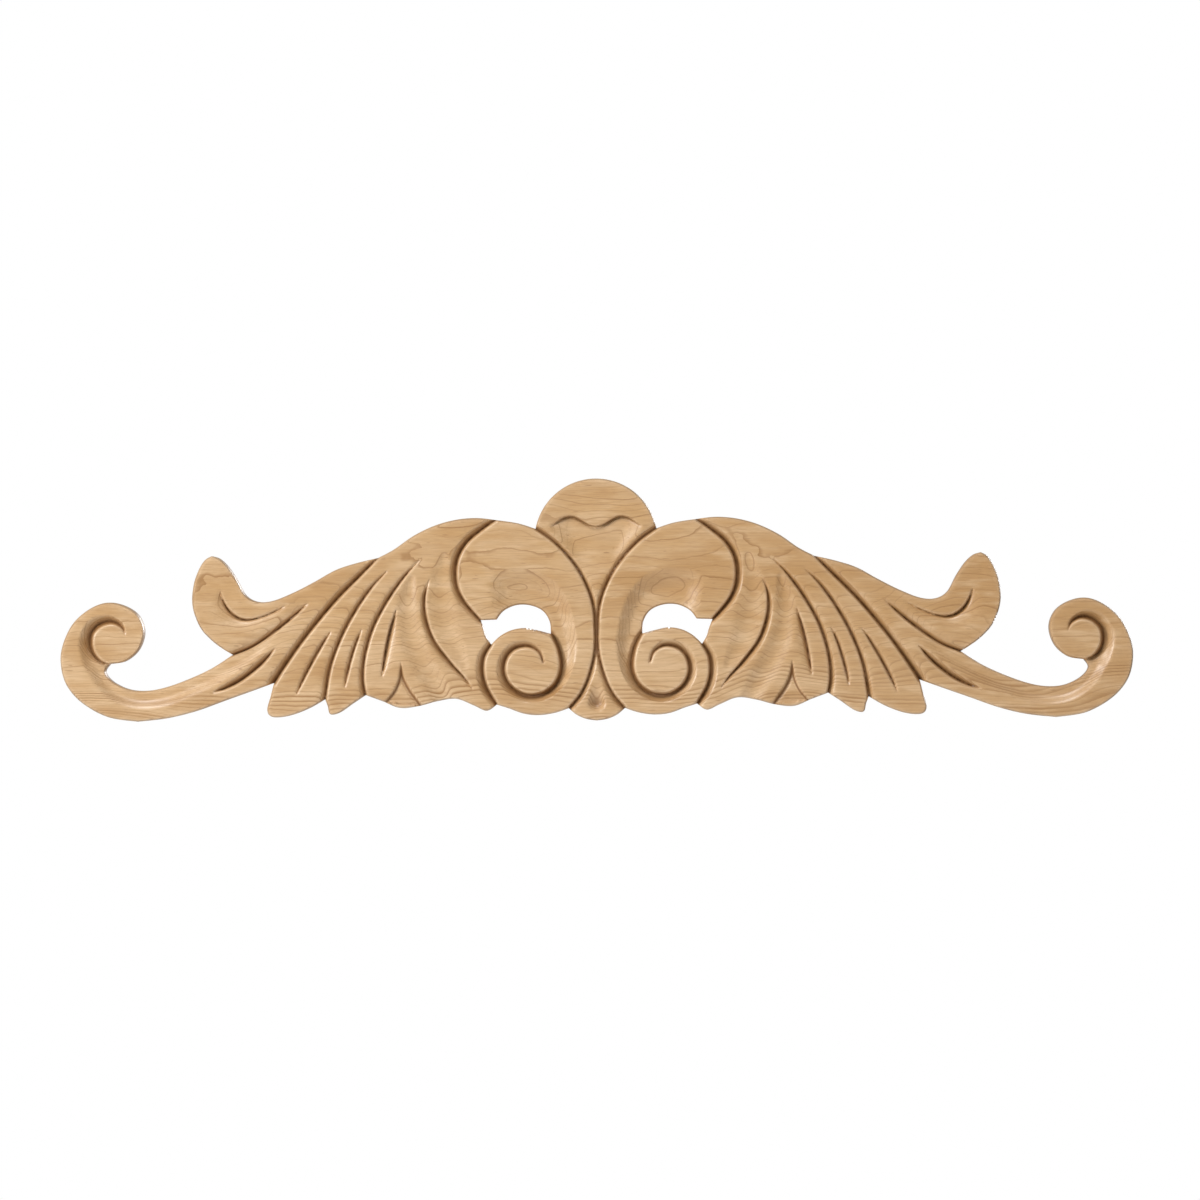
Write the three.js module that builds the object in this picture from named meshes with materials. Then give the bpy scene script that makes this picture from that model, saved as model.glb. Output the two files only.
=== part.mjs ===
import * as THREE from 'three';
import { mergeVertices } from 'three/addons/utils/BufferGeometryUtils.js';

// Carved wood applique: one flat-backed board with scrolls, leaves and a crest, the same left and right.
// X runs along its length and Z up. The flat back lies on y = 0 and the carving faces -Y.

// Driving dimensions, in millimetres
const LENGTH = 609.6;
const HEIGHT = 137.5;
const THICKNESS = 19;
const EDGE_ROUND = 1.6;
const CUT_STEEPNESS = 1.25;
const CREST_RECESS_DEPTH = 3.4;
const SCROLL_HOLLOW_DEPTH = 3.6;
const CURL_HOLLOW_DEPTH = 2.6;
const ARM_CHANNEL_DEPTH = 1.6;
const LEAF_FLUTE_DEPTH = 1.5;
const BASE_NOTCH_DEPTH = 4.5;
const PENDANT_GOUGE_DEPTH = 5;

// Spacing of the points on the carved face
const LINE_STEP = 5;
const TURN_STEP = 3.6;
const FILL_STEP = 9;
const SMALLEST_GAP = 1;
const LOOSE_GAP = 2.6;
const NARROWEST_CUT = 0.7;
const WELD_GAP = 1e-4;

// The scrollwork is drawn at this length and height, as shares of the real ones
const DRAWN_LENGTH = 609.6;
const DRAWN_HEIGHT = 137.5;
const ACROSS = LENGTH / DRAWN_LENGTH;
const UP = HEIGHT / DRAWN_HEIGHT;

const point = (x, z) => new THREE.Vector2(x * ACROSS, z * UP);
const spline = (...pairs) => new THREE.SplineCurve(pairs.map(([x, z]) => point(x, z)));
const circle = (x, z, radius, from, to) => new THREE.EllipseCurve(
  x * ACROSS, z * UP, radius * ACROSS, radius * UP, from, to, to < from,
);

function walk(curve, step = LINE_STEP) {
  return curve.getSpacedPoints(Math.max(1, Math.round(curve.getLength() / step)));
}

function join(runs) {
  return runs.flatMap((run, index) => (index === 0 ? run : run.slice(1)));
}

// Right half of the outline, from the top of the crest round to the foot of the pendant
const crest = circle(0, 33.2, 35, Math.PI / 2, 0.19);
const scrollTop = spline(
  [34.4, 39.8], [44, 42.9], [56, 44.8], [68, 46.1], [80, 45.1], [92, 41.8], [104, 36], [115, 28.4],
  [124, 23.7],
);
const curlTop = spline(
  [124, 23.7], [136, 20.9], [148, 17], [160, 10.4], [172, 4.3], [184, -0.4], [193, -0.8], [199.6, 3],
  [204.5, 11.8], [209.6, 19.4], [214.4, 23.8], [218.6, 25.2],
);
const curlOuter = spline(
  [218.6, 25.2], [222.4, 23], [226, 17.4], [229, 8.4], [229.6, -3], [225.5, -15], [217.6, -23.8],
  [207, -31],
);
const armTop = spline(
  [207, -31], [219, -38.6], [232, -44.6], [245, -49.2], [256, -51.2], [266, -50.4], [275, -46.2],
  [279.6, -40.5], [277, -35.9],
);
const voluteRim = spline(
  [277, -35.9], [268, -34.2], [260.4, -27.6], [257.3, -17.6], [260.4, -8.6], [268, -3], [278, -0.9],
  [288, -4.4], [297.4, -12.4], [303.3, -24], [304.8, -35], [301.7, -47.3], [292.8, -57.8], [278, -66],
  [261, -68.7],
);
const armBottom = spline(
  [261, -68.7], [244, -66.8], [228, -62.9], [212, -57.2], [197, -51.9], [183.5, -47],
);
const largeLeafTip = spline(
  [183.5, -47], [185.4, -54.5], [187.4, -62.5], [184.4, -66.4], [175, -65.8], [164, -61.8],
  [154.5, -56.4],
);
const middleLeafTip = spline(
  [154.5, -56.4], [153, -60.4], [151.6, -65], [146.4, -64.2], [138.8, -59], [131.5, -54.2],
);
const baseEdge = spline(
  [131.5, -54.2], [122, -57.7], [112, -61.6], [101, -60.6], [91, -58], [80, -56.6], [70, -60.4],
  [62.6, -63.5], [57, -60],
);
const scrollBottom = spline(
  [57, -60], [50, -62.2], [41.6, -65.2], [33, -66.1], [24, -64.9], [16, -62.3],
);
const pendantFoot = spline([16, -62.3], [11.5, -66], [6, -68.4], [0, -69.3]);

// Pierced opening between the scroll and its eye
const openingRuns = [
  spline([66, -12], [57, -11.7]),
  spline([57, -11.7], [53, -6.8], [46, -3.6], [38, -3.6], [30.6, -6.8], [26.6, -13], [26, -20]),
  spline([26, -20], [33.5, -18], [41, -16.6], [48.5, -17.8], [55, -21.2], [60, -26]),
  spline([60, -26], [62.6, -21.6], [64, -17], [66, -12]),
];

// V-cut seams and slits of the right half, each with its width at the start, the middle and the end.
// On the low side, left or right along its run, the wood slopes down into the cut by drop over reach.
const LEFT = 1;
const RIGHT = -1;
const cuts = [
  { name: 'crest seam', width: [3.4, 3.4, 3.2], low: RIGHT, reach: 5, drop: 1.4,
    curve: spline(
      [34.4, 39.8], [25.5, 33.5], [17.8, 26], [10.6, 16.6], [5, 5.8], [1.8, -5], [0.9, -17], [1.2, -30],
      [4.6, -44], [9.4, -54.4], [16, -62.3],
    ) },
  { name: 'scroll seam', width: [2.4, 4, 2.4], low: LEFT, reach: 6, drop: 1.6,
    curve: spline(
      [57, 44.9], [64.4, 39.8], [73.6, 32], [79, 22], [79.7, 10], [75.6, -0.6], [66, -12],
    ) },
  { name: 'eye seam', width: [2.6, 3.4, 2.6], low: LEFT, reach: 5, drop: 1.4,
    curve: spline([60, -26], [64, -33], [64.8, -41.6], [62.6, -50.6], [57, -60]) },
  { name: 'eye spiral', width: [0, 3.2, 2.8], step: TURN_STEP,
    curve: spline(
      [30.6, -36], [33, -30.2], [39, -27], [46.6, -28.4], [51.6, -34], [52.7, -42], [48.8, -49.8],
      [40.6, -54.6], [31, -53.8], [23.6, -48], [20.4, -39], [22, -28.4], [26, -20],
    ) },
  { name: 'inner leaf slit', width: [0, 3.4, 0], low: LEFT, reach: 6, drop: 1.2,
    curve: spline(
      [94.3, 12.5], [97.4, 1.6], [97, -10], [92.4, -23.4], [83.6, -35.4], [75, -45], [70, -52.4],
    ) },
  { name: 'first leaf seam', width: [0, 2.6, 3], low: LEFT, reach: 8, drop: 1.8,
    curve: spline(
      [98.6, 24], [109, 12.8], [118.8, -1], [126.8, -16], [131.6, -32], [132.8, -45], [131.5, -54.2],
    ) },
  { name: 'second leaf seam', width: [0, 2.6, 3], low: LEFT, reach: 8, drop: 1.8,
    curve: spline([117, 18], [127.4, 7], [136.6, -6], [144.8, -21], [151.2, -38], [154.5, -56.4]) },
  { name: 'outer leaf seam', width: [1.6, 3, 4.4], low: LEFT, reach: 12, drop: 2.6,
    curve: spline(
      [124, 23.7], [135, 12.8], [146.4, 1.4], [157.2, -10.9], [167.8, -24.2], [177.6, -38], [183.5, -47],
    ) },
  { name: 'curl seam', width: [0, 2.6, 2.8], low: LEFT, reach: 9, drop: 2.2,
    curve: spline([163, -1], [173.6, -10.7], [185.6, -20], [196.4, -26.8], [207, -31]) },
  { name: 'curl crease', width: [0, 2, 0], step: TURN_STEP,
    curve: spline(
      [174, -1.8], [184, -6.9], [194, -10.4], [202, -10.4], [208.6, -6], [212.4, 0.4], [214.4, 6.6],
    ) },
  { name: 'arm slit', width: [0, 3, 0], low: LEFT, reach: 6, drop: 1.4,
    curve: spline([182, -26.5], [190.3, -36], [201, -44.6], [210.8, -49.9], [219.5, -52.6]) },
  { name: 'large leaf slit', width: [0, 2.6, 0], low: LEFT, reach: 5, drop: 0.9,
    curve: spline([150.2, -16.6], [157, -27.6], [164, -40], [171.4, -55]) },
  { name: 'middle leaf slit', width: [0, 2.4, 0], low: LEFT, reach: 4.5, drop: 0.8,
    curve: spline([133, -15.8], [137.6, -27.8], [141, -39.6], [143.6, -51.4]) },
  { name: 'small leaf slit', width: [0, 2.4, 0], low: LEFT, reach: 4.5, drop: 0.8,
    curve: spline([113.4, -4.6], [117.4, -17.4], [120.4, -31], [122.4, -45]) },
  { name: 'notch left side', width: [0, 2, 2],
    curve: spline([111.2, -35], [110.6, -43.6], [106.6, -52], [100.4, -60.4]) },
  { name: 'notch right side', width: [0, 2, 2],
    curve: spline([111.2, -35], [111.8, -45], [115.2, -53], [120, -58.5]) },
  { name: 'volute groove', width: [0, 3, 0], low: LEFT, reach: 8, drop: 3.4, step: TURN_STEP,
    curve: spline(
      [268.2, -21.4], [269.2, -16], [273, -12.3], [279, -11], [285, -13.4], [289.2, -19], [291, -26.4],
      [290, -35.4],
    ) },
];

// Soft hollows: a round-bottomed channel along a curve, with its width at the start, the middle and the end
const hollows = [
  { name: 'scroll hollow', width: [6, 25, 5], depth: SCROLL_HOLLOW_DEPTH,
    curve: spline([64, 3], [50, 4.4], [38, 4.2], [27.4, -1.6], [21.4, -12], [19, -24], [18.6, -38]) },
  { name: 'curl hollow', width: [4, 17, 4], depth: CURL_HOLLOW_DEPTH,
    curve: spline([178, -9], [191, -15.6], [204, -17.6], [215, -11], [220, 1], [220.4, 12]) },
  { name: 'arm channel', width: [3, 13, 3], depth: ARM_CHANNEL_DEPTH,
    curve: spline(
      [200, -36], [215, -45.4], [231, -53.2], [247, -58.2], [262, -59.4], [276, -56.6], [286, -50.4],
    ) },
  { name: 'inner leaf flute', width: [3, 15, 3], depth: LEAF_FLUTE_DEPTH,
    curve: spline([86.4, 24], [88.4, 8], [87.4, -8], [82.8, -24], [74.8, -38]) },
  { name: 'base leaf flute', width: [3, 14, 5], depth: LEAF_FLUTE_DEPTH,
    curve: spline([105, 12], [107.4, -4], [105.4, -20], [100, -34], [92, -48]) },
];

function lineOf(feature) {
  const points = walk(feature.curve, feature.step);
  const [start, middle, end] = feature.width;
  const widths = points.map((_, index) => {
    const share = index / (points.length - 1);
    const edge = share < 0.5 ? start : end;
    return middle + (edge - middle) * Math.abs(2 * share - 1) ** 3;
  });
  return { ...feature, points, widths, fullest: Math.max(...widths) };
}

const cutLines = cuts.map(lineOf);
const hollowLines = hollows.map(lineOf);

// Nearest place on a line: how far, how wide the line is there, and on which side of it the point lies
function nearest(line, x, z) {
  let best = { distance: Infinity, width: 0, side: 0 };
  for (let index = 1; index < line.points.length; index += 1) {
    const a = line.points[index - 1];
    const b = line.points[index];
    const runX = b.x - a.x;
    const runZ = b.y - a.y;
    const share = THREE.MathUtils.clamp(
      ((x - a.x) * runX + (z - a.y) * runZ) / (runX * runX + runZ * runZ), 0, 1,
    );
    const distance = Math.hypot(x - a.x - runX * share, z - a.y - runZ * share);
    if (distance < best.distance) {
      const width = THREE.MathUtils.lerp(line.widths[index - 1], line.widths[index], share);
      const side = Math.sign(runX * (z - a.y) - runZ * (x - a.x));
      best = { distance, width, side };
    }
  }
  return best;
}

function liesInside(x, z, loop) {
  let inside = false;
  loop.forEach((a, index) => {
    const b = loop[(index + 1) % loop.length];
    if ((a.y > z) !== (b.y > z) && x < a.x + ((z - a.y) / (b.y - a.y)) * (b.x - a.x)) inside = !inside;
  });
  return inside;
}

const smooth = (value) => THREE.MathUtils.smoothstep(value, 0, 1);

// Recess in the crest: a double arch above, soft sides that close to a point below
const ARCH_HEIGHT = 44.3;
const ARCH_RISE = 2.9;
const ARCH_SPACING = 16;
const ARCH_EDGE = 1.4;
const RECESS_HALF_WIDTH = 25;
const RECESS_FOOT = 2;
const RECESS_SOFTNESS = 8;

const archAt = (x) => ARCH_HEIGHT - ARCH_RISE * Math.cos((Math.PI * x) / ARCH_SPACING);
const recessSideAt = (z) => RECESS_HALF_WIDTH * Math.max(0, (z - RECESS_FOOT) / (ARCH_HEIGHT - RECESS_FOOT));

function crestRecess(x, z) {
  const sides = smooth((recessSideAt(z) - x) / RECESS_SOFTNESS);
  return CREST_RECESS_DEPTH * sides * smooth((archAt(x) - z) / ARCH_EDGE);
}

// Drop-shaped gouge in the pendant, deepest at its foot
const GOUGE_TOP = -44;
const GOUGE_FOOT = -63.5;
const GOUGE_END = 2.5;
const GOUGE_HALF_WIDTH = 5;

function pendantGouge(x, z) {
  const share = THREE.MathUtils.clamp((GOUGE_TOP - z) / (GOUGE_TOP - GOUGE_FOOT), 0, 1);
  const halfWidth = GOUGE_HALF_WIDTH * share;
  const across = Math.max(0, 1 - x / Math.max(halfWidth, NARROWEST_CUT));
  const foot = smooth((z - GOUGE_FOOT + GOUGE_END) / GOUGE_END);
  return PENDANT_GOUGE_DEPTH * share * across * foot;
}

// Sunk triangle between the two sides of the notch at the base
const NOTCH_TOP = -42;
const NOTCH_MIDDLE = 111;
const NOTCH_STEEPNESS = 1.5;
const notchSides = cutLines.filter((line) => line.name.startsWith('notch'));
const notchLoop = [...notchSides[0].points, ...[...notchSides[1].points].reverse()];

function baseNotch(x, z) {
  if (!liesInside(x, z, notchLoop)) return 0;
  const nearestSide = Math.min(...notchSides.map((side) => nearest(side, x, z).distance));
  return Math.min(BASE_NOTCH_DEPTH, NOTCH_STEEPNESS * nearestSide);
}

// Depth of the carving below the full thickness of the board
function carving(x, z) {
  let cut = 0;
  let slope = 0;
  for (const line of cutLines) {
    const { distance, width, side } = nearest(line, x, z);
    cut = Math.max(cut, CUT_STEEPNESS * (width - 2 * distance));
    const share = width / line.fullest;
    const fall = 1 - distance / (line.reach * share);
    if (side === line.low && fall > 0) slope = Math.max(slope, line.drop * share * fall * fall);
  }
  const drawnX = x / ACROSS;
  const drawnZ = z / UP;
  let hollow = Math.max(crestRecess(drawnX, drawnZ), pendantGouge(drawnX, drawnZ), baseNotch(x, z));
  for (const line of hollowLines) {
    const { distance, width } = nearest(line, x, z);
    const across = 1 - (2 * distance / width) ** 2;
    if (across > 0) hollow = Math.max(hollow, line.depth * across * across * Math.sqrt(width / line.fullest));
  }
  return cut + Math.max(slope, hollow);
}

// Right half of the board: its outline, the axis that closes it, and the pierced opening
const outline = join([
  walk(crest), walk(scrollTop), walk(curlTop, TURN_STEP), walk(curlOuter, TURN_STEP), walk(armTop, TURN_STEP),
  walk(voluteRim, TURN_STEP), walk(armBottom), walk(largeLeafTip, TURN_STEP), walk(middleLeafTip, TURN_STEP),
  walk(baseEdge), walk(scrollBottom), walk(pendantFoot, TURN_STEP),
]);
outline[0].x = 0;
outline.at(-1).x = 0;
const axis = walk(new THREE.LineCurve(outline.at(-1), outline[0])).slice(1, -1);
const border = [...outline, ...axis];
const opening = join(openingRuns.map((run) => walk(run, TURN_STEP))).slice(0, -1);
const openingChain = [...opening, opening[0]];

// Points of the carved face, each kept clear of the edges that the face has to follow
const sites = [];
const edges = [];
const CLEARANCE = 1.02;

function isClear(p) {
  return edges.every(([a, b]) => {
    const reach = a.distanceTo(b) / 2;
    return Math.hypot(p.x - (a.x + b.x) / 2, p.y - (a.y + b.y) / 2) > reach * CLEARANCE;
  });
}

function addPoint(p, gap = SMALLEST_GAP) {
  const near = sites.find((site) => site.distanceTo(p) < gap);
  if (near) return near;
  if (!liesInside(p.x, p.y, border) || liesInside(p.x, p.y, opening) || !isClear(p)) return null;
  sites.push(p);
  return p;
}

function addLoop(points) {
  sites.push(...points);
  points.forEach((p, index) => edges.push([p, points[(index + 1) % points.length]]));
}

function addLine(points) {
  const placed = points.map((p) => addPoint(p));
  for (let index = 1; index < placed.length; index += 1) {
    const pair = [placed[index - 1], placed[index]];
    if (pair[0] && pair[1] && pair[0] !== pair[1]) edges.push(pair);
  }
}

function besideLine(points, offset) {
  return points.map((p, index) => {
    const before = points[Math.max(0, index - 1)];
    const after = points[Math.min(points.length - 1, index + 1)];
    const run = after.clone().sub(before).normalize();
    return new THREE.Vector2(p.x - run.y * offset(index), p.y + run.x * offset(index));
  });
}

function addBeside(line, offset, gap) {
  besideLine(line.points, offset)
    .filter((_, index) => line.widths[index] > NARROWEST_CUT)
    .forEach((p) => addPoint(p, gap));
}

addLoop(border);
addLoop(opening);
for (const line of cutLines) addLine(line.points);
for (const line of cutLines) {
  for (const half of [-0.5, 0.5]) addBeside(line, (index) => half * line.widths[index]);
}

for (const chain of [outline, openingChain]) {
  for (const side of [-EDGE_ROUND, EDGE_ROUND]) besideLine(chain, () => side).forEach((p) => addPoint(p));
}

const RECESS_STEP = 4;
for (let x = 0; x < RECESS_HALF_WIDTH; x += RECESS_STEP) {
  for (const below of [0, ARCH_EDGE]) addPoint(point(x, archAt(x) - below));
}

for (const line of hollowLines) {
  for (const part of [0, -0.25, 0.25, -0.5, 0.5]) {
    addBeside(line, (index) => part * line.widths[index], LOOSE_GAP);
  }
}

for (const line of cutLines.filter((one) => one.low)) {
  for (const part of [0.4, 1]) {
    const slopeAt = (index) => line.low * part * line.reach * (line.widths[index] / line.fullest);
    addBeside(line, slopeAt, LOOSE_GAP);
  }
}

for (let z = RECESS_FOOT + RECESS_STEP; z < ARCH_HEIGHT; z += RECESS_STEP) {
  for (const inward of [0, RECESS_SOFTNESS]) {
    addPoint(point(Math.max(0, recessSideAt(z) - inward), z), LOOSE_GAP);
  }
}

for (let z = NOTCH_TOP - BASE_NOTCH_DEPTH; z > -DRAWN_HEIGHT / 2; z -= BASE_NOTCH_DEPTH) {
  addPoint(point(NOTCH_MIDDLE, z));
}

const ROW_STEP = FILL_STEP * Math.sin(Math.PI / 3);
for (let row = 0; row * ROW_STEP < HEIGHT; row += 1) {
  const z = HEIGHT / 2 - row * ROW_STEP;
  for (let x = (row % 2) * FILL_STEP / 2; x < LENGTH / 2; x += FILL_STEP) {
    const p = new THREE.Vector2(x, z);
    if (sites.every((site) => site.distanceTo(p) > FILL_STEP / 2)) addPoint(p);
  }
}

// Delaunay triangles of the points: no circle through a triangle's corners holds another point
function triangulate(points) {
  const far = 20 * LENGTH;
  const frame = [[-far, -far], [far, -far], [0, far]].map(([x, z]) => new THREE.Vector2(x, z));
  const all = [...points, ...frame];
  const count = points.length;
  let triangles = [withCircle(all, count, count + 1, count + 2)];
  for (let index = 0; index < count; index += 1) {
    const { x, y } = all[index];
    const open = new Map();
    triangles = triangles.filter((triangle) => {
      const { corners, centre, reach } = triangle;
      if ((x - centre.x) ** 2 + (y - centre.y) ** 2 >= reach) return true;
      corners.forEach((corner, place) => {
        const next = corners[(place + 1) % 3];
        if (!open.delete(`${next} ${corner}`)) open.set(`${corner} ${next}`, [corner, next]);
      });
      return false;
    });
    for (const [a, b] of open.values()) triangles.push(withCircle(all, a, b, index));
  }
  const corners = triangles.map((triangle) => triangle.corners);
  return corners.filter((three) => three.every((corner) => corner < count));
}

function withCircle(points, a, b, c) {
  const first = points[a];
  const bx = points[b].x - first.x;
  const by = points[b].y - first.y;
  const cx = points[c].x - first.x;
  const cy = points[c].y - first.y;
  const twice = 2 * (bx * cy - by * cx);
  const x = (cy * (bx * bx + by * by) - by * (cx * cx + cy * cy)) / twice;
  const y = (bx * (cx * cx + cy * cy) - cx * (bx * bx + by * by)) / twice;
  return { corners: [a, b, c], centre: { x: x + first.x, y: y + first.y }, reach: x * x + y * y };
}

// Triangles between the points that lie on wood, not in the pierced opening or outside the outline
function woodTriangles(points) {
  return triangulate(points).map((corners) => corners.map((corner) => points[corner])).filter(([a, b, c]) => {
    const x = (a.x + b.x + c.x) / 3;
    const z = (a.y + b.y + c.y) / 3;
    return liesInside(x, z, border) && !liesInside(x, z, opening);
  });
}

// Height of the carved face above the flat back, lower at the rounded edges
const rims = new Set([...outline, ...opening]);

function faceHeight(p) {
  const rounding = rims.has(p) ? EDGE_ROUND : 0;
  return THICKNESS - rounding - carving(p.x, p.y);
}

// The right half as carved face, walls and back, then its mirror image, welded along the axis
function makeBoard() {
  const corners = [];
  const heights = new Map(sites.map((p) => [p, faceHeight(p)]));
  const onFace = (p) => [p.x, -heights.get(p), p.y];
  const onBack = (p) => [p.x, 0, p.y];
  const addTriangle = (...triangle) => {
    const mirrored = triangle.map(([x, y, z]) => [-x, y, z]).reverse();
    corners.push(...triangle.flat(), ...mirrored.flat());
  };
  for (const [a, b, c] of woodTriangles(sites)) addTriangle(onFace(a), onFace(b), onFace(c));
  for (const [a, b, c] of woodTriangles([...border, ...opening])) {
    addTriangle(onBack(c), onBack(b), onBack(a));
  }
  for (const chain of [outline, openingChain]) {
    for (let index = 1; index < chain.length; index += 1) {
      const a = chain[index - 1];
      const b = chain[index];
      addTriangle(onBack(b), onBack(a), onFace(a));
      addTriangle(onBack(b), onFace(a), onFace(b));
    }
  }
  const geometry = new THREE.BufferGeometry();
  geometry.setAttribute('position', new THREE.Float32BufferAttribute(corners, 3));
  const welded = mergeVertices(geometry, WELD_GAP);
  welded.computeVertexNormals();
  return welded;
}

const maple = new THREE.MeshStandardMaterial({ color: 0xd2aa7d, roughness: 0.6, metalness: 0 });
const board = new THREE.Mesh(makeBoard(), maple);
board.name = 'carved_applique';

const applique = new THREE.Group();
applique.add(board);

export default applique;
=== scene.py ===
import math

import bpy
import numpy as np
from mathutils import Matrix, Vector
from mathutils.geometry import delaunay_2d_cdt


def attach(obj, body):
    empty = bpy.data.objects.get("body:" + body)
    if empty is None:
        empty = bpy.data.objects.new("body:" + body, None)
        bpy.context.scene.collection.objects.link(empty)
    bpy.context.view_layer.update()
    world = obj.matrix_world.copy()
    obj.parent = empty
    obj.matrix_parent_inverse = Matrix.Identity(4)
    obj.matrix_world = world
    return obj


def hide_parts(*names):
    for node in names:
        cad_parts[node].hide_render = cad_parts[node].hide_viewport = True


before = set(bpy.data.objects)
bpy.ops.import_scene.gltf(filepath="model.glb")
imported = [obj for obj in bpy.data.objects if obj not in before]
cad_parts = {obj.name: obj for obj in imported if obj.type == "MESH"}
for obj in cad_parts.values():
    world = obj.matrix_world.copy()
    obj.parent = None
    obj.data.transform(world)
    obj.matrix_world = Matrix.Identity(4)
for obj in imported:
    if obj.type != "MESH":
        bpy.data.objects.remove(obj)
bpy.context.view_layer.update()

# Carved wood applique: the carved face in fine relief, its walls and its flat back, in maple.
# Sizes are in millimetres. X is the distance from the axis that the two halves mirror about,
# Z points up, the flat back lies on y = 0 and the carving faces -Y.
MM = 0.001

# Driving dimensions of the board
BACK_Y = 0.0
THICKNESS = 19.0
EDGE_ROUND = 1.4
LEAF_FLUTE_DEPTH = 1.7
INNER_FLUTE_DEPTH = 1.3

# Section of a cut: its depth for each millimetre of width, the share of the width on its steep
# and on its gentle side, and how far its arrises and its bottom are rounded
CUT_DEPTH = 0.85
STEEP_SHARE = 0.3
GENTLE_SHARE = 0.85
EVEN_SHARE = 0.5
ARRIS_SOFTNESS = 0.25
CUT_BOTTOM = 0.2
NARROWEST_SIDE = 0.05
SHORTEST_REACH = 0.01
RUN_OUT_WIDTH = 0.5
CUT_REACH = 4.5

# Wear and painted highlight on the arrises beside the cuts and on the rim, and stain and painted
# shade in the cuts and at the gouge's foot
ARRIS_OFFSET = 0.35
ARRIS_WIDTH = 0.8
FULL_WEAR_AND_HIGHLIGHT_WIDTH = 2.0
RIM_WEAR_AND_HIGHLIGHT = 0.55
FULL_STAIN_AND_SHADE_WIDTH = 1.8
GOUGE_SHADE = 0.2

# Spacing of the points of the mesh
LINE_STEP = 1.0
FILL_STEP = 1.15
ARCH_STEP = 0.8
SMALLEST_GAP = 0.3
FILL_GAP = 0.6 * FILL_STEP
NARROWEST_CUT = 0.5
CUT_ROWS = (1, 0.5, 0.75, 0.25)
ROWS_BESIDE_CUT = (0.4, 1.2)
ROWS_BESIDE_RIM = (0.25, 0.8, 1.5)
FILL_LOW, FILL_HIGH, FILL_END = -70, 70, 306
WALL_ROWS = 5
KNOT_STEPS = 24
ARC_STEPS = 90
SHARP_ANGLE = math.radians(38)
MERGE_GAP = 1e-6
AXIS_GAP = 1e-4
TINY = 1e-9


# ---- curves ----
def spline(*knots):
    """A smooth curve through the knots, as many close points"""
    p = np.array([knots[0], *knots, knots[-1]], float)
    t = np.linspace(0, 1, KNOT_STEPS, endpoint=False)[:, None]
    runs = []
    for a, b, c, d in zip(p[:-3], p[1:-2], p[2:-1], p[3:]):
        into, out = (c - a) / 2, (d - b) / 2
        cubic = 2 * b - 2 * c + into + out
        square = 3 * c - 3 * b - 2 * into - out
        runs.append(cubic * t**3 + square * t**2 + into * t + b)
    return np.vstack([*runs, p[-1:]])


def arc(x, z, radius, start, end):
    turn = np.linspace(start, end, ARC_STEPS)
    return np.stack([x + radius * np.cos(turn), z + radius * np.sin(turn)], 1)


def walk(curve):
    """The same curve as evenly spaced points"""
    gone = np.r_[0, np.cumsum(np.hypot(*np.diff(curve, axis=0).T))]
    stops = np.linspace(0, gone[-1], max(2, round(gone[-1] / LINE_STEP) + 1))
    return np.stack([np.interp(stops, gone, curve[:, 0]), np.interp(stops, gone, curve[:, 1])], 1)


def join(runs):
    """One line of several, each of which starts where the one before it ends"""
    return np.vstack([runs[0], *[run[1:] for run in runs[1:]]])


def closed(loop):
    return np.vstack([loop, loop[:1]])


# Right half of the outline, from the top of the crest round to the foot of the pendant
CREST_MIDDLE_Z = 33.2
CREST_RADIUS = 35
CREST_FOOT_ANGLE = 0.19
crest = arc(0, CREST_MIDDLE_Z, CREST_RADIUS, math.pi / 2, CREST_FOOT_ANGLE)
scroll_top = spline([34.4, 39.8], [44, 42.9], [56, 44.8], [68, 46.1], [80, 45.1], [92, 41.8],
                    [104, 36], [115, 28.4], [124, 23.7])
curl_top = spline([124, 23.7], [136, 20.9], [148, 17], [160, 10.4], [172, 4.3], [184, -0.4],
                  [193, -0.8], [199.6, 3], [204.5, 11.8], [209.6, 19.4], [214.4, 23.8],
                  [218.6, 25.2])
curl_outer = spline([218.6, 25.2], [222.4, 23], [226, 17.4], [229, 8.4], [229.6, -3],
                    [225.5, -15], [217.6, -23.8], [207, -31])
arm_top = spline([207, -31], [219, -38.6], [232, -44.6], [245, -49.2], [256, -51.2],
                 [266, -50.4], [275, -46.2], [279.6, -40.5], [277, -35.9])
volute_rim = spline([277, -35.9], [268, -34.2], [260.4, -27.6], [257.3, -17.6], [260.4, -8.6],
                    [268, -3], [278, -0.9], [288, -4.4], [297.4, -12.4], [303.3, -24],
                    [304.8, -35], [301.7, -47.3], [292.8, -57.8], [278, -66], [261, -68.7])
arm_bottom = spline([261, -68.7], [244, -66.8], [228, -62.9], [212, -57.2], [197, -51.9],
                    [183.5, -47])
outer_leaf_tip = spline([183.5, -47], [185.4, -54.5], [187.4, -62.5], [184.4, -66.4],
                        [175, -65.8], [164, -61.8], [154.5, -56.4])
second_leaf_tip = spline([154.5, -56.4], [153, -60.4], [151.6, -65], [146.4, -64.2],
                         [138.8, -59], [131.5, -54.2])
base_leaf_tips = spline([131.5, -54.2], [122, -57.7], [112, -61.6], [101, -60.6], [91, -58],
                        [80, -56.6], [70, -60.4], [62.6, -63.5], [57, -60])
eye_foot = spline([57, -60], [50, -62.2], [41.6, -65.2], [33, -66.1], [24, -64.9], [16, -62.3])
pendant = spline([16, -62.3], [11.5, -66], [6, -68.4], [0, -69.3])
outline_runs = [crest, scroll_top, curl_top, curl_outer, arm_top, volute_rim, arm_bottom,
                outer_leaf_tip, second_leaf_tip, base_leaf_tips, eye_foot, pendant]

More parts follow.
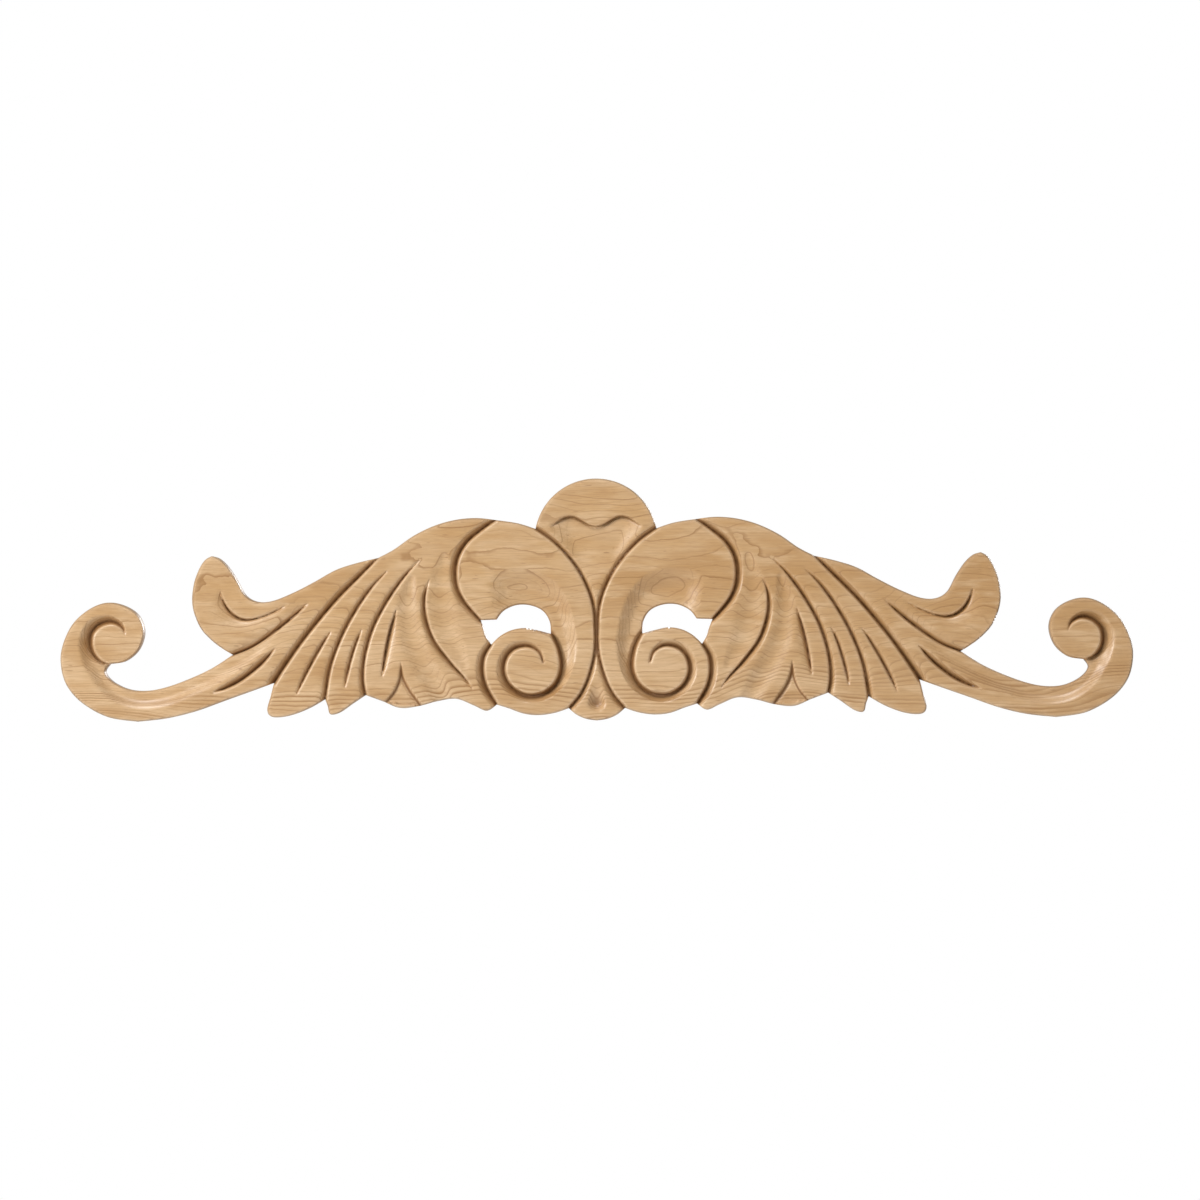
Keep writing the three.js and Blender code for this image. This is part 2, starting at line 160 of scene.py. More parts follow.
# Pierced opening between the scroll and its eye
opening_ledge = spline([66, -12], [57, -11.7])
opening_top = spline([57, -11.7], [53, -6.8], [46, -3.6], [38, -3.6], [30.6, -6.8],
                     [26.6, -13], [26, -20])
eye_top = spline([26, -20], [33.5, -18], [41, -16.6], [48.5, -17.8], [55, -21.2], [60, -26])
opening_side = spline([60, -26], [62.6, -21.6], [64, -17], [66, -12])
opening_runs = [opening_ledge, opening_top, eye_top, opening_side]

# V-cut seams and slits of the right half: their widths, the side on which the wood slopes down
# into each (left or right along its run, or neither), over what reach and by how much, and their
# run. Three widths are those at the start, the middle and the end, and more are evenly spread.
LEFT, RIGHT, NEITHER = 1, -1, 0
cuts = {
    "crest seam": (
        [3.0, 2.8, 3.2], RIGHT, 6, 1.2,
        spline([34.4, 39.8], [25.5, 33.5], [17.8, 26], [10.6, 16.6], [5, 5.8], [1.8, -5],
               [0.9, -17], [1.2, -30], [4.6, -44], [9.4, -54.4], [16, -62.3])),
    "scroll seam": (
        [2.8, 4, 2.8], LEFT, 7, 1.4,
        spline([57, 44.9], [64.4, 39.8], [73.6, 32], [79, 22], [79.7, 10], [75.6, -0.6],
               [66, -12])),
    "eye seam": (
        [3.4, 4.4, 3.4], LEFT, 5, 1.2,
        spline([60, -26], [64, -33], [64.8, -41.6], [62.6, -50.6], [57, -60])),
    "eye spiral": (
        [1.6, 4.0, 4.7, 4.8, 4.7, 4.0, 3.0], LEFT, 5.5, 0.7,
        spline([30.6, -36], [33, -30.2], [39, -27], [46.6, -28.4], [51.6, -34], [52.7, -42],
               [48.8, -49.8], [40.6, -54.6], [31, -53.8], [23.6, -48], [20.4, -39],
               [22, -28.4], [26, -20])),
    "inner leaf slit": (
        [0, 3.4, 0], LEFT, 6, 1.2,
        spline([94.3, 12.5], [97.4, 1.6], [97, -10], [92.4, -23.4], [83.6, -35.4], [75, -45],
               [70, -52.4])),
    "first leaf seam": (
        [0, 2.8, 3.2], LEFT, 6, 1.4,
        spline([98.6, 24], [109, 12.8], [118.8, -1], [126.8, -16], [131.6, -32], [132.8, -45],
               [131.5, -54.2])),
    "second leaf seam": (
        [0, 2.8, 3.2], LEFT, 6, 1.4,
        spline([117, 18], [127.4, 7], [136.6, -6], [144.8, -21], [151.2, -38],
               [154.5, -56.4])),
    "outer leaf seam": (
        [2, 3.6, 4.6], LEFT, 8, 1.7,
        spline([124, 23.7], [135, 12.8], [146.4, 1.4], [157.2, -10.9], [167.8, -24.2],
               [177.6, -38], [183.5, -47])),
    "curl seam": (
        [0, 2.6, 2.8], LEFT, 9, 2.2,
        spline([163, -1], [173.6, -10.7], [185.6, -20], [196.4, -26.8], [207, -31])),
    "curl crease": (
        [0, 0.9, 1.2, 1.5, 2.1, 2.3, 1.6, 0], RIGHT, 13, 2.3,
        spline([174, -1.8], [184, -6.9], [194, -10.4], [202, -10.4], [208.6, -6],
               [212.4, 0.4], [214.4, 6.6])),
    "boss cut": (
        [0.6, 4.4, 0], RIGHT, 3, 0.2,
        spline([277, -35.9], [282, -34], [285.4, -30.5], [287.2, -26.5], [287.4, -21.7],
               [286, -17.5], [282, -13.8], [277, -12.3], [273, -13], [269.6, -15.6],
               [267.8, -19.9])),
    "arm slit": (
        [0, 3.6, 0], LEFT, 5, 1.6,
        spline([182, -26.5], [190.3, -36], [201, -44.6], [210.8, -49.9], [219.5, -52.6])),
    "large leaf slit": (
        [0, 2.6, 0], LEFT, 5, 0.9,
        spline([150.2, -16.6], [157, -27.6], [164, -40], [171.4, -55])),
    "middle leaf slit": (
        [0, 2.4, 0], LEFT, 4.5, 0.8,
        spline([133, -15.8], [137.6, -27.8], [141, -39.6], [143.6, -51.4])),
    "small leaf slit": (
        [0, 2.6, 0], RIGHT, 7.5, 2.0,
        spline([113.4, -4.6], [117.4, -17.4], [120.4, -31], [122.4, -45])),
    "recess arch": (
        [1.1, 1.9, 0.5], NEITHER, 1, 0,
        spline([0, 40.8], [4.2, 41.8], [8.4, 44.2], [12.9, 46.3], [17, 46.1], [20.8, 44.3],
               [24.6, 41.2])),
    "notch left side": (
        [0, 3, 2.6], NEITHER, 1, 0,
        spline([111.2, -35], [110.6, -43.6], [106.6, -52], [100.4, -60.4])),
    "notch right side": (
        [0, 2.4, 2.2], NEITHER, 1, 0,
        spline([111.2, -35], [111.8, -45], [115.2, -53], [120, -58.5])),
}

# Flutes of the inner and the base leaf, round-bottomed: their widths as above, depth and run
flutes = [
    ([6, 19, 6], INNER_FLUTE_DEPTH,
     spline([86.4, 24], [88.4, 8], [87.4, -8], [82.8, -24], [74.8, -38])),
    ([5, 17, 12], LEAF_FLUTE_DEPTH,
     spline([105, 12], [107.4, -4], [105.4, -20], [100, -34], [92, -48], [85, -61])),
]


def wide_line(widths, curve, **facts):
    """Points along a curve with the width at each"""
    points = walk(curve)
    share = np.linspace(0, 1, len(points))
    if len(widths) > 3:
        course = spline(*zip(np.linspace(0, 1, len(widths)), widths))
        width = np.maximum(np.interp(share, course[:, 0], course[:, 1]), 0)
    else:
        start, middle, end = widths
        edge = np.where(share < 0.5, start, end)
        width = middle + (edge - middle) * np.abs(2 * share - 1) ** 3
    return dict(points=points, widths=width, **facts)


cut_lines = {name: wide_line(widths, curve, low=low, reach=reach, drop=drop)
             for name, (widths, low, reach, drop, curve) in cuts.items()}
flute_lines = [wide_line(widths, curve, depth=depth) for widths, depth, curve in flutes]


# ---- relief ----
def nearest(line, at):
    """How far each place is from a line, how wide the line is there, and which side it is on"""
    points, widths = line["points"], line["widths"]
    best = np.full(len(at), np.inf)
    width = np.zeros(len(at))
    side = np.zeros(len(at))
    for a, b, wa, wb in zip(points[:-1], points[1:], widths[:-1], widths[1:]):
        run = b - a
        share = np.clip(((at - a) @ run) / (run @ run), 0, 1)
        distance = np.hypot(*(at - a - share[:, None] * run).T)
        closer = distance < best
        best[closer] = distance[closer]
        width[closer] = (wa + (wb - wa) * share)[closer]
        turn = run[0] * (at[:, 1] - a[1]) - run[1] * (at[:, 0] - a[0])
        side[closer] = np.sign(turn)[closer]
    return best, width, side


def distance_to(points, at):
    return nearest(dict(points=points, widths=np.zeros(len(points))), at)[0]


def lies_inside(at, loop):
    inside = np.zeros(len(at), bool)
    for a, b in zip(loop, np.roll(loop, -1, axis=0)):
        if a[1] != b[1]:
            crosses = (a[1] > at[:, 1]) != (b[1] > at[:, 1])
            edge_x = a[0] + (at[:, 1] - a[1]) / (b[1] - a[1]) * (b[0] - a[0])
            inside ^= crosses & (at[:, 0] < edge_x)
    return inside


def smooth(value):
    value = np.clip(value, 0, 1)
    return value * value * (3 - 2 * value)


def crisp_edge(value):
    """Like smooth, but it starts with a clear edge"""
    value = np.clip(value, 0, 1)
    return (smooth(value) + value * (2 - value)) / 2


# Recess in the crest: a double arch above, soft sides that close to a point below
CREST_RECESS_DEPTH = 2.8
ARCH_HEIGHT = 44.3
ARCH_RISE = 2.9
ARCH_SPACING = 14.6
ARCH_EDGE = 1.4
RECESS_HALF_WIDTH = 26.5
RECESS_FOOT = 2.0
RECESS_FOOT_FADE = 1.6
RECESS_FOOT_SOFTNESS = 1.0
RECESS_SOFTNESS = 13.0
RECESS_CROWN = 3.0


def arch_at(x):
    return ARCH_HEIGHT - ARCH_RISE * np.cos(math.pi * x / ARCH_SPACING)


def crest_recess(at):
    x, z = at.T
    share = np.clip((z - RECESS_FOOT) / (ARCH_HEIGHT - RECESS_FOOT), 0, 1)
    inward = RECESS_HALF_WIDTH * share - np.hypot(x, RECESS_CROWN) + RECESS_CROWN
    sides = crisp_edge(inward / (RECESS_SOFTNESS * share + RECESS_FOOT_SOFTNESS))
    depth = CREST_RECESS_DEPTH * smooth(share * RECESS_FOOT_FADE)
    return depth * sides * smooth((arch_at(x) - z) / ARCH_EDGE)


# Drop-shaped gouge in the pendant, deepest and roundest at its foot
PENDANT_GOUGE_DEPTH = 3.4
GOUGE_TOP = -43.0
GOUGE_FOOT = -59.2
GOUGE_TOP_RADIUS = 2.6
GOUGE_FOOT_RADIUS = 5.0
GOUGE_FALL = 1.7


def pendant_gouge(at):
    x, z = at.T
    share = np.clip((GOUGE_TOP - z) / (GOUGE_TOP - GOUGE_FOOT), 0, 1)
    radius = GOUGE_TOP_RADIUS + (GOUGE_FOOT_RADIUS - GOUGE_TOP_RADIUS) * share
    outward = np.hypot(x, np.minimum(z - GOUGE_FOOT, 0)) / radius
    return PENDANT_GOUGE_DEPTH * share**GOUGE_FALL * np.clip(1 - outward**2, 0, 1)


# Sunk triangle between the two sides of the notch at the base
BASE_NOTCH_DEPTH = 1.8
NOTCH_STEEPNESS = 1.5
notch_sides = [cut_lines["notch left side"], cut_lines["notch right side"]]
notch_loop = np.vstack([notch_sides[0]["points"], notch_sides[1]["points"][::-1]])


def base_notch(at):
    to_side = np.minimum(*[nearest(side, at)[0] for side in notch_sides])
    depth = np.minimum(BASE_NOTCH_DEPTH, NOTCH_STEEPNESS * to_side)
    return np.where(lies_inside(at, notch_loop), depth, 0)


# Cove inside the scroll: from its outer edge, a spoon above the opening that runs down beside the
# eye and under it. Its depth follows the direction from the middle of the eye, in degrees.
cove_edge = spline([59.5, 1], [61.3, 5.2], [60.6, 11.4], [54.6, 16], [44.2, 17.3], [33.5, 15.6],
                   [24.9, 11], [17.9, 2.3], [13.4, -10.1], [11.2, -24.3], [12.6, -36.7],
                   [16.7, -47.3], [23, -54], [29.5, -57.6], [37, -58.9], [45, -57.2])
COVE_MIDDLE = (41, -22)
COVE_DIRECTIONS = [42, 50, 58, 68, 90, 130, 185, 215, 235, 250, 268, 285]
COVE_DEPTHS = [0, 0.7, 1.9, 3.0, 3.8, 3.9, 3.8, 3.2, 2.3, 1.4, 0.8, 0]
COVE_SLOPE_SHARE = 0.62
EYE_WALL = 0.8
spiral = cut_lines["eye spiral"]["points"]
eye_edge = spiral[np.argmax(spiral[:, 0]):]
eye_loop = np.vstack([eye_edge, eye_top])


def scroll_cove(at):
    to_outer = distance_to(walk(cove_edge), at)
    to_eye = distance_to(eye_edge, at)
    to_inner = np.minimum(to_eye, distance_to(join([opening_ledge, opening_top]), at))
    direction = np.degrees(np.arctan2(at[:, 1] - COVE_MIDDLE[1], at[:, 0] - COVE_MIDDLE[0])) % 360
    depth = np.interp(direction, COVE_DIRECTIONS, COVE_DEPTHS)
    share = to_outer / (to_outer + to_inner + TINY)
    inside = lies_inside(at, cove_edge) & ~lies_inside(at, eye_loop)
    slope = crisp_edge(share / COVE_SLOPE_SHARE) * smooth(to_eye / EYE_WALL)
    return np.where(inside, depth * slope, 0)


# Channel of the arm, from its outer edge, which runs on round the boss of the volute. Its depths
# are evenly spread along that edge, and so are the shares by which the boss stands as a wall.
channel_edge = spline([181, -21.5], [190, -31], [199, -38.5], [208, -44.8], [219, -50.4],
                      [231, -55.6], [242, -60.3], [254, -62.2], [263, -61.8], [272, -59],
                      [280.6, -53], [288, -43.6], [292.2, -35.4], [294.4, -25.4],
                      [293.2, -17.8], [289.3, -11.5], [283.5, -8.4], [277, -8], [272, -10.3],
                      [268.7, -14.2], [267.8, -19.9])
CHANNEL_DEPTHS = [0, 1.2, 1.8, 2.2, 2.7, 3.0, 3.2, 3.2, 3.2, 3.2, 3.4, 3.4, 2.8, 1.8, 0.2]
CHANNEL_WALLS = [0, 0, 0, 0, 0, 0, 0, 0.05, 0.4, 0.85, 1, 1, 1, 1, 1]
CHANNEL_SLOPE_SHARE = 0.6
VOLUTE_SLOPE_SHARE = 0.75
ARM_START = 178
BOSS_WALL = 0.8
# Points at the start of the volute's rim that run round the boss
BOSS_RIM_POINTS = 90
boss_edge = cut_lines["boss cut"]["points"]
boss_loop = np.vstack([boss_edge, volute_rim[:BOSS_RIM_POINTS][::-1]])
curl_seam = cut_lines["curl seam"]["points"]
curl_loop = np.vstack([curl_top, curl_outer, curl_seam[::-1]])


def arm_channel(at):
    edge = walk(channel_edge)
    edge_share = np.linspace(0, 1, len(edge))
    distance, place, side = nearest(dict(points=edge, widths=edge_share), at)
    depth, wall = [np.interp(place, np.linspace(0, 1, len(course)), course)
                   for course in (CHANNEL_DEPTHS, CHANNEL_WALLS)]
    to_boss = distance_to(boss_edge, at)
    to_inner = np.minimum(to_boss, distance_to(join([curl_seam, walk(arm_top)]), at))
    share = distance / (distance + to_inner + TINY)
    open_side = smooth(share / CHANNEL_SLOPE_SHARE)
    walled = crisp_edge(share / VOLUTE_SLOPE_SHARE) * smooth(to_boss / BOSS_WALL)
    in_arm = (side == LEFT) & (at[:, 0] > ARM_START)
    inside = in_arm & ~lies_inside(at, boss_loop) & ~lies_inside(at, curl_loop)
    return np.where(inside, depth * (wall * walled + (1 - wall) * open_side), 0)


# The crest seam comes so near the axis that its mirror image takes part in its slope
NEAR_AXIS_CUT = "crest seam"


def carving(at):
    """Depth of the carving, how deep in a cut each place lies, which sets its stain and painted
    shade, and how near an arris, which sets its wear and painted highlight
    """
    deepest = np.zeros(len(at))
    shade_and_stain_in_cut = np.zeros(len(at))
    wear_and_highlight = np.zeros(len(at))
    for name, line in cut_lines.items():
        low = line["low"]
        distance, width, side = nearest(line, at)
        share = width / line["widths"].max()
        on_low = side == low
        side_share = np.where(on_low, GENTLE_SHARE, STEEP_SHARE) if low else EVEN_SHARE
        half = np.maximum(side_share * width, NARROWEST_SIDE)
        into = 1 - np.hypot(distance, CUT_BOTTOM) / half
        cut = (into + np.sqrt(into**2 + (ARRIS_SOFTNESS / half) ** 2)) / 2
        cut = cut * np.clip(width / RUN_OUT_WIDTH, 0, 1)
        cut = np.where(distance < CUT_REACH, cut, 0)
        reach = np.maximum(line["reach"] * share, SHORTEST_REACH)
        fall = np.clip(1 - distance / reach, 0, 1) ** 2
        if name == NEAR_AXIS_CUT:
            to_mirrored = nearest(line, at * [-1, 1])[0]
            fall = 1 - (1 - fall) * (1 - np.clip(1 - to_mirrored / reach, 0, 1) ** 2)
            mirrored = np.clip(1 - to_mirrored / half, 0, 1)
            cut = np.where(on_low, 1 - (1 - cut) * (1 - mirrored), cut)
        depth = CUT_DEPTH * width
        drop = line["drop"] * share
        total = np.where(on_low, cut * depth + drop * fall, cut * (depth + drop))
        deepest = np.maximum(deepest, total)
        # Stain and painted shade, stronger the deeper a place lies in a wide cut
        shade_and_stain_in_cut = np.maximum(shade_and_stain_in_cut, cut * np.clip(width / FULL_STAIN_AND_SHADE_WIDTH, 0, 1))
        if low:
            # Wear and painted highlight on the arris beside the steep side of the cut
            on_arris = np.exp(-((distance - half - ARRIS_OFFSET) / ARRIS_WIDTH) ** 2)
            on_arris = on_arris * np.clip(width / FULL_WEAR_AND_HIGHLIGHT_WIDTH, 0, 1)
            wear_and_highlight = np.maximum(wear_and_highlight, np.where(on_low, 0, on_arris))
    gouge = pendant_gouge(at)
    hollows = [crest_recess(at), gouge, base_notch(at), scroll_cove(at), arm_channel(at)]
    for line in flute_lines:
        distance, width, _ = nearest(line, at)
        section = np.clip(1 - (2 * distance / width) ** 2, 0, 1) ** 2
        hollows.append(line["depth"] * section * np.sqrt(width / line["widths"].max()))
    # Stain and painted shade at the foot of the gouge
    shade_and_stain_in_cut = np.maximum(shade_and_stain_in_cut, gouge * GOUGE_SHADE)
    return deepest + np.max(hollows, axis=0), shade_and_stain_in_cut, wear_and_highlight


# ---- points of the right half's face ----
outline = join([walk(run) for run in outline_runs])
outline[0, 0] = outline[-1, 0] = 0
axis_steps = round((outline[0, 1] - outline[-1, 1]) / LINE_STEP)
axis_points = np.linspace(outline[-1], outline[0], axis_steps + 1)[1:-1]
border = np.vstack([outline, axis_points])
opening = join([walk(run) for run in opening_runs])[:-1]


def in_wood(points):
    return points[lies_inside(points, border) & ~lies_inside(points, opening)]


def beside(points, offset):
    """The line moved to its left by the offset, or to its right where that is negative"""
    run = np.gradient(points, axis=0)
    run /= np.maximum(np.hypot(*run.T), TINY)[:, None]
    return points + np.stack([-run[:, 1], run[:, 0]], 1) * np.reshape(offset, (-1, 1))


rows = [line["points"] for line in cut_lines.values()]
for line in cut_lines.values():
    points, widths = line["points"], line["widths"]
    wide = widths > NARROWEST_CUT
    if line["low"]:
        shares = [(line["low"], GENTLE_SHARE), (-line["low"], STEEP_SHARE)]
    else:
        shares = [(LEFT, EVEN_SHARE), (RIGHT, EVEN_SHARE)]
    for side, share in shares:
        for part in CUT_ROWS:
            rows.append(beside(points, side * part * share * widths)[wide])
        for beyond in ROWS_BESIDE_CUT:
            rows.append(beside(points, side * (share * widths + beyond))[wide])
for loop in (border, closed(opening)):
    for inward in ROWS_BESIDE_RIM:
        rows += [beside(loop, -inward), beside(loop, inward)]
rows += [walk(channel_edge), walk(cove_edge), beside(boss_edge, -BOSS_WALL),
         beside(eye_edge, EYE_WALL)]
arch_x = np.arange(0, RECESS_HALF_WIDTH, ARCH_STEP)
for inward in (0, ARCH_EDGE / 2, ARCH_EDGE):
    rows.append(np.stack([arch_x, arch_at(arch_x) - inward], 1))

fill_rows = []
for index, z in enumerate(np.arange(FILL_LOW, FILL_HIGH, FILL_STEP * math.sin(math.pi / 3))):
    x = np.arange((index % 2) * FILL_STEP / 2, FILL_END, FILL_STEP)
    fill_rows.append(np.stack([x, np.full_like(x, z)], 1))


def thin_out(points, earlier, gap):
    """Drops each point that lies nearer than the gap to an earlier one"""
    cells = {}
    for p in earlier:
        cells.setdefault((int(p[0] // gap), int(p[1] // gap)), []).append(p)
    result = []
    for p in points:
        i, j = int(p[0] // gap), int(p[1] // gap)
        near = (q for di in (-1, 0, 1) for dj in (-1, 0, 1)
                for q in cells.get((i + di, j + dj), ()))
        if all((p[0] - q[0]) ** 2 + (p[1] - q[1]) ** 2 > gap * gap for q in near):
            result.append(p)
            cells.setdefault((i, j), []).append(p)
    return result


rim_count = len(border) + len(opening)
kept = [tuple(p) for p in np.vstack([border, opening])]
kept += thin_out([tuple(p) for p in in_wood(np.vstack(rows))], kept, SMALLEST_GAP)
kept += thin_out([tuple(p) for p in in_wood(np.vstack(fill_rows))], kept, FILL_GAP)


# ---- whole board: face and its mirror image, walls down to the flat back, and the back ----
def ring(first, count):
    return [(first + i, first + (i + 1) % count) for i in range(count)]


def triangulate(points):
    """The points that the mesher gives back, and the triangles between them that are wood"""
    edges = ring(0, len(border)) + ring(len(border), len(opening))
    places, _, triangles, *_ = delaunay_2d_cdt([Vector(p) for p in points], edges, [], 0, MERGE_GAP)
    places, triangles = np.array([tuple(p) for p in places]), np.array(triangles)
    centres = places[triangles].mean(1)
    triangles = triangles[lies_inside(centres, border) & ~lies_inside(centres, opening)]
    a, b, c = (places[triangles[:, k]] for k in range(3))
    u, v = b - a, c - a
    turned = u[:, 0] * v[:, 1] - u[:, 1] * v[:, 0] < 0
    triangles[turned] = triangles[turned][:, ::-1]
    return places, triangles


flat, face_triangles = triangulate(kept)
rim = flat[:rim_count]
_, back_triangles = triangulate(rim)

carved, shade_and_stain_in_cut, wear_and_highlight = carving(flat)
to_rim = np.minimum(distance_to(outline, flat), distance_to(closed(opening), flat))
inside_round = np.clip(EDGE_ROUND - to_rim, 0, EDGE_ROUND)
rounding = EDGE_ROUND - np.sqrt(EDGE_ROUND**2 - inside_round**2)
height = THICKNESS - carved - rounding
# Wear and painted highlight along the rim
wear_and_highlight = np.maximum(wear_and_highlight, RIM_WEAR_AND_HIGHLIGHT * np.exp(-((to_rim - EDGE_ROUND / 2) / EDGE_ROUND) ** 2))


def raised(points, above_back):
    """Points this far above the flat back, in three dimensions"""
    return np.stack([points[:, 0], BACK_Y - above_back, points[:, 1]], 1)


wall_levels = [raised(rim, height[:rim_count] * row / WALL_ROWS) for row in range(WALL_ROWS)]
half = np.vstack([raised(flat, height), *wall_levels])
back_start = len(flat)
level_starts = [0, *[back_start + row * rim_count for row in reversed(range(WALL_ROWS))]]
outline_chain = list(range(len(outline)))
opening_chain = [*range(len(border), rim_count), len(border)]
quads = np.array([
    [upper + i, upper + j, lower + j, lower + i]
    for chain in (outline_chain, opening_chain)
    for i, j in zip(chain[:-1], chain[1:])
    for upper, lower in zip(level_starts[:-1], level_starts[1:])])
triangles = np.vstack([face_triangles, back_triangles[:, ::-1] + back_start])

used = np.unique(np.concatenate([triangles.ravel(), quads.ravel()]))
place_of = np.full(len(half), -1)
place_of[used] = np.arange(len(used))
triangles, quads = place_of[triangles], place_of[quads]
right = half[used]
right[np.abs(right[:, 0]) < AXIS_GAP, 0] = 0
off_axis = right[:, 0] != 0
mirror_of = np.arange(len(right))
mirror_of[off_axis] = len(right) + np.arange(off_axis.sum())
vertices = np.vstack([right, right[off_axis] * [-1, 1, 1]]) * MM
all_faces = [*triangles.tolist(), *quads.tolist()]
all_faces += [*mirror_of[triangles[:, ::-1]].tolist(), *mirror_of[quads[:, ::-1]].tolist()]

mesh = bpy.data.meshes.new("applique_carving")
mesh.from_pydata(vertices.tolist(), [], all_faces)
mesh.polygons.foreach_set("use_smooth", np.ones(len(all_faces), bool))
mesh.set_sharp_from_angle(angle=SHARP_ANGLE)
# Stain and painted shade in the cuts, and wear and painted highlight on the arrises and rim, kept
# on the points for the colour
for name, tint in (("seam_stain_and_shade", shade_and_stain_in_cut), ("arris_wear_and_highlight", wear_and_highlight)):
    tint = np.r_[tint, np.zeros(len(half) - len(flat))][used]
    tint = np.concatenate([tint, tint[off_axis]]).astype(np.float32)
    mesh.attributes.new(name, "FLOAT", "POINT").data.foreach_set("value", tint)
mesh.update()
applique = bpy.data.objects.new("applique_carving", mesh)
bpy.context.collection.objects.link(applique)
print("applique mesh:", len(vertices), "points,", sum(len(f) - 2 for f in all_faces), "triangles")

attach(applique, "root")
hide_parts("carved_applique")


# ---- materials ----
class Nodes:
    """Shader nodes of one material, made by short calls. A value may be a number or a socket."""

    def __init__(self, name):
        self.material = bpy.data.materials.new(name)
        self.material.use_nodes = True
        self.tree = self.material.node_tree
        self.shader = self.tree.nodes["Principled BSDF"]

    def feed(self, socket, value):
        if isinstance(value, bpy.types.NodeSocket):
            self.tree.links.new(value, socket)
        else:
            socket.default_value = value

    def add(self, kind, inputs=(), **settings):
        node = self.tree.nodes.new(kind)
        for key, value in settings.items():
            setattr(node, key, value)
        for key, value in dict(inputs).items():
            self.feed(node.inputs[key], value)
        return node

    def math(self, operation, a, b=0.0, c=0.0):
        inputs = {0: a, 1: b, 2: c}
        return self.add("ShaderNodeMath", inputs, operation=operation).outputs[0]

    def scaled(self, vector, x, y, z):
        inputs = {0: vector, 1: (x, y, z)}
        return self.add("ShaderNodeVectorMath", inputs, operation="MULTIPLY").outputs[0]

    def noise(self, vector, detail, roughness=0.5):
        inputs = {"Vector": vector, "Scale": 1.0, "Detail": detail, "Roughness": roughness}
        return self.add("ShaderNodeTexNoise", inputs).outputs["Fac"]

    def ramp(self, value, low, high, to_low=0.0, to_high=1.0, shape="SMOOTHSTEP"):
        """Goes from to_low to to_high while the value goes from low to high"""
        inputs = {"Value": value, "From Min": low, "From Max": high,
                  "To Min": to_low, "To Max": to_high}
        return self.add("ShaderNodeMapRange", inputs, interpolation_type=shape).outputs[0]

    def mix(self, share, a, b):
        inputs = {0: share, 6: a, 7: b}
        return self.add("ShaderNodeMix", inputs, data_type="RGBA").outputs[2]


PALE = (0.600, 0.393, 0.208, 1)
WARM = (0.560, 0.340, 0.152, 1)
RICH = (0.480, 0.270, 0.105, 1)
SAPWOOD = (0.720, 0.510, 0.305, 1)
LATE_WOOD = (0.330, 0.165, 0.055, 1)
FLECK = (0.300, 0.145, 0.050, 1)
# Dark brown of the stain and painted shade in the cuts
STAIN_AND_SHADE_BROWN = (0.200, 0.085, 0.018, 1)
# Pale of the wear and painted highlight on the arrises and rim
WORN_AND_HIGHLIGHT_PALE = (0.840, 0.640, 0.430, 1)

wood = Nodes("maple_wood")
in_mm = wood.scaled(wood.add("ShaderNodeTexCoord").outputs["Object"], *[1 / MM] * 3)
x_mm, y_mm, z_mm = wood.add("ShaderNodeSeparateXYZ", {0: in_mm}).outputs


def grain(along, across, detail, roughness=0.5):
    """Noise in patches this long along the board and this high and deep"""
    return wood.noise(wood.scaled(in_mm, 1 / along, 1 / across, 1 / across), detail, roughness)


# Growth rings: round a pith far behind the board, so that they lie nearly flat in it and bend in
# its hollows. The pith rises to the right and wanders, and the rings wave and ripple.
PITH_HEIGHT = 27.0
PITH_BEHIND = 120.0
PITH_RISE = 0.03
PITH_WANDER = 60.0
RING_WAVE = 2.6
RING_RIPPLE = 0.4
RING = 1.05
drift = grain(150, 60, 1.0)
pith = wood.math("MULTIPLY_ADD", drift, PITH_WANDER, PITH_HEIGHT - PITH_WANDER / 2)
pith = wood.math("MULTIPLY_ADD", x_mm, PITH_RISE, pith)
up = wood.math("SUBTRACT", z_mm, pith)
behind = wood.math("SUBTRACT", PITH_BEHIND, y_mm)
squared = wood.math("MULTIPLY_ADD", up, up, wood.math("MULTIPLY", behind, behind))
radius = wood.math("SQRT", squared)
radius = wood.math("MULTIPLY_ADD", grain(44, 17, 1.0), RING_WAVE, radius)
radius = wood.math("MULTIPLY_ADD", grain(9, 7, 2.0), RING_RIPPLE, radius)
rings = wood.math("DIVIDE", radius, RING)
season = wood.math("FRACT", rings)
number = wood.math("FLOOR", rings)
ring_tone = wood.add("ShaderNodeTexWhiteNoise", {"W": number}, noise_dimensions="1D")
ring_tone = ring_tone.outputs["Value"]

# Growth lines: how fast the radius changes along the surface keeps each about as wide, whether the
# surface lies flat in the rings or across them. LINE_WAVER is the least change that counts.
LINE_WIDTH = 0.7
BOLD_LINE_WIDTH = 1.6
LINE_CORE = 0.05
LINE_WAVER = 0.09
BOLD_TONE = 0.6
FAINTEST_LINE = 0.25
FAINTEST_PATCH = 0.55
outward_y = wood.math("DIVIDE", wood.math("MULTIPLY", behind, -1.0), radius)
outward_z = wood.math("DIVIDE", up, radius)
outward = wood.add("ShaderNodeCombineXYZ", {1: outward_y, 2: outward_z}).outputs[0]
normal = wood.add("ShaderNodeNewGeometry").outputs["Normal"]
facing = wood.add("ShaderNodeVectorMath", {0: outward, 1: normal}, operation="DOT_PRODUCT")
facing = facing.outputs["Value"]
slope = wood.math("SUBTRACT", 1.0, wood.math("MULTIPLY", facing, facing))
slope = wood.math("SQRT", wood.math("MAXIMUM", slope, LINE_WAVER**2))
to_line = wood.math("MULTIPLY", wood.math("SUBTRACT", 1.0, season), RING)
to_line = wood.math("DIVIDE", to_line, slope)
line_width = wood.ramp(ring_tone, BOLD_TONE, 1.0, LINE_WIDTH, BOLD_LINE_WIDTH)
on_line = wood.ramp(to_line, LINE_CORE, line_width, 1.0, 0.0)
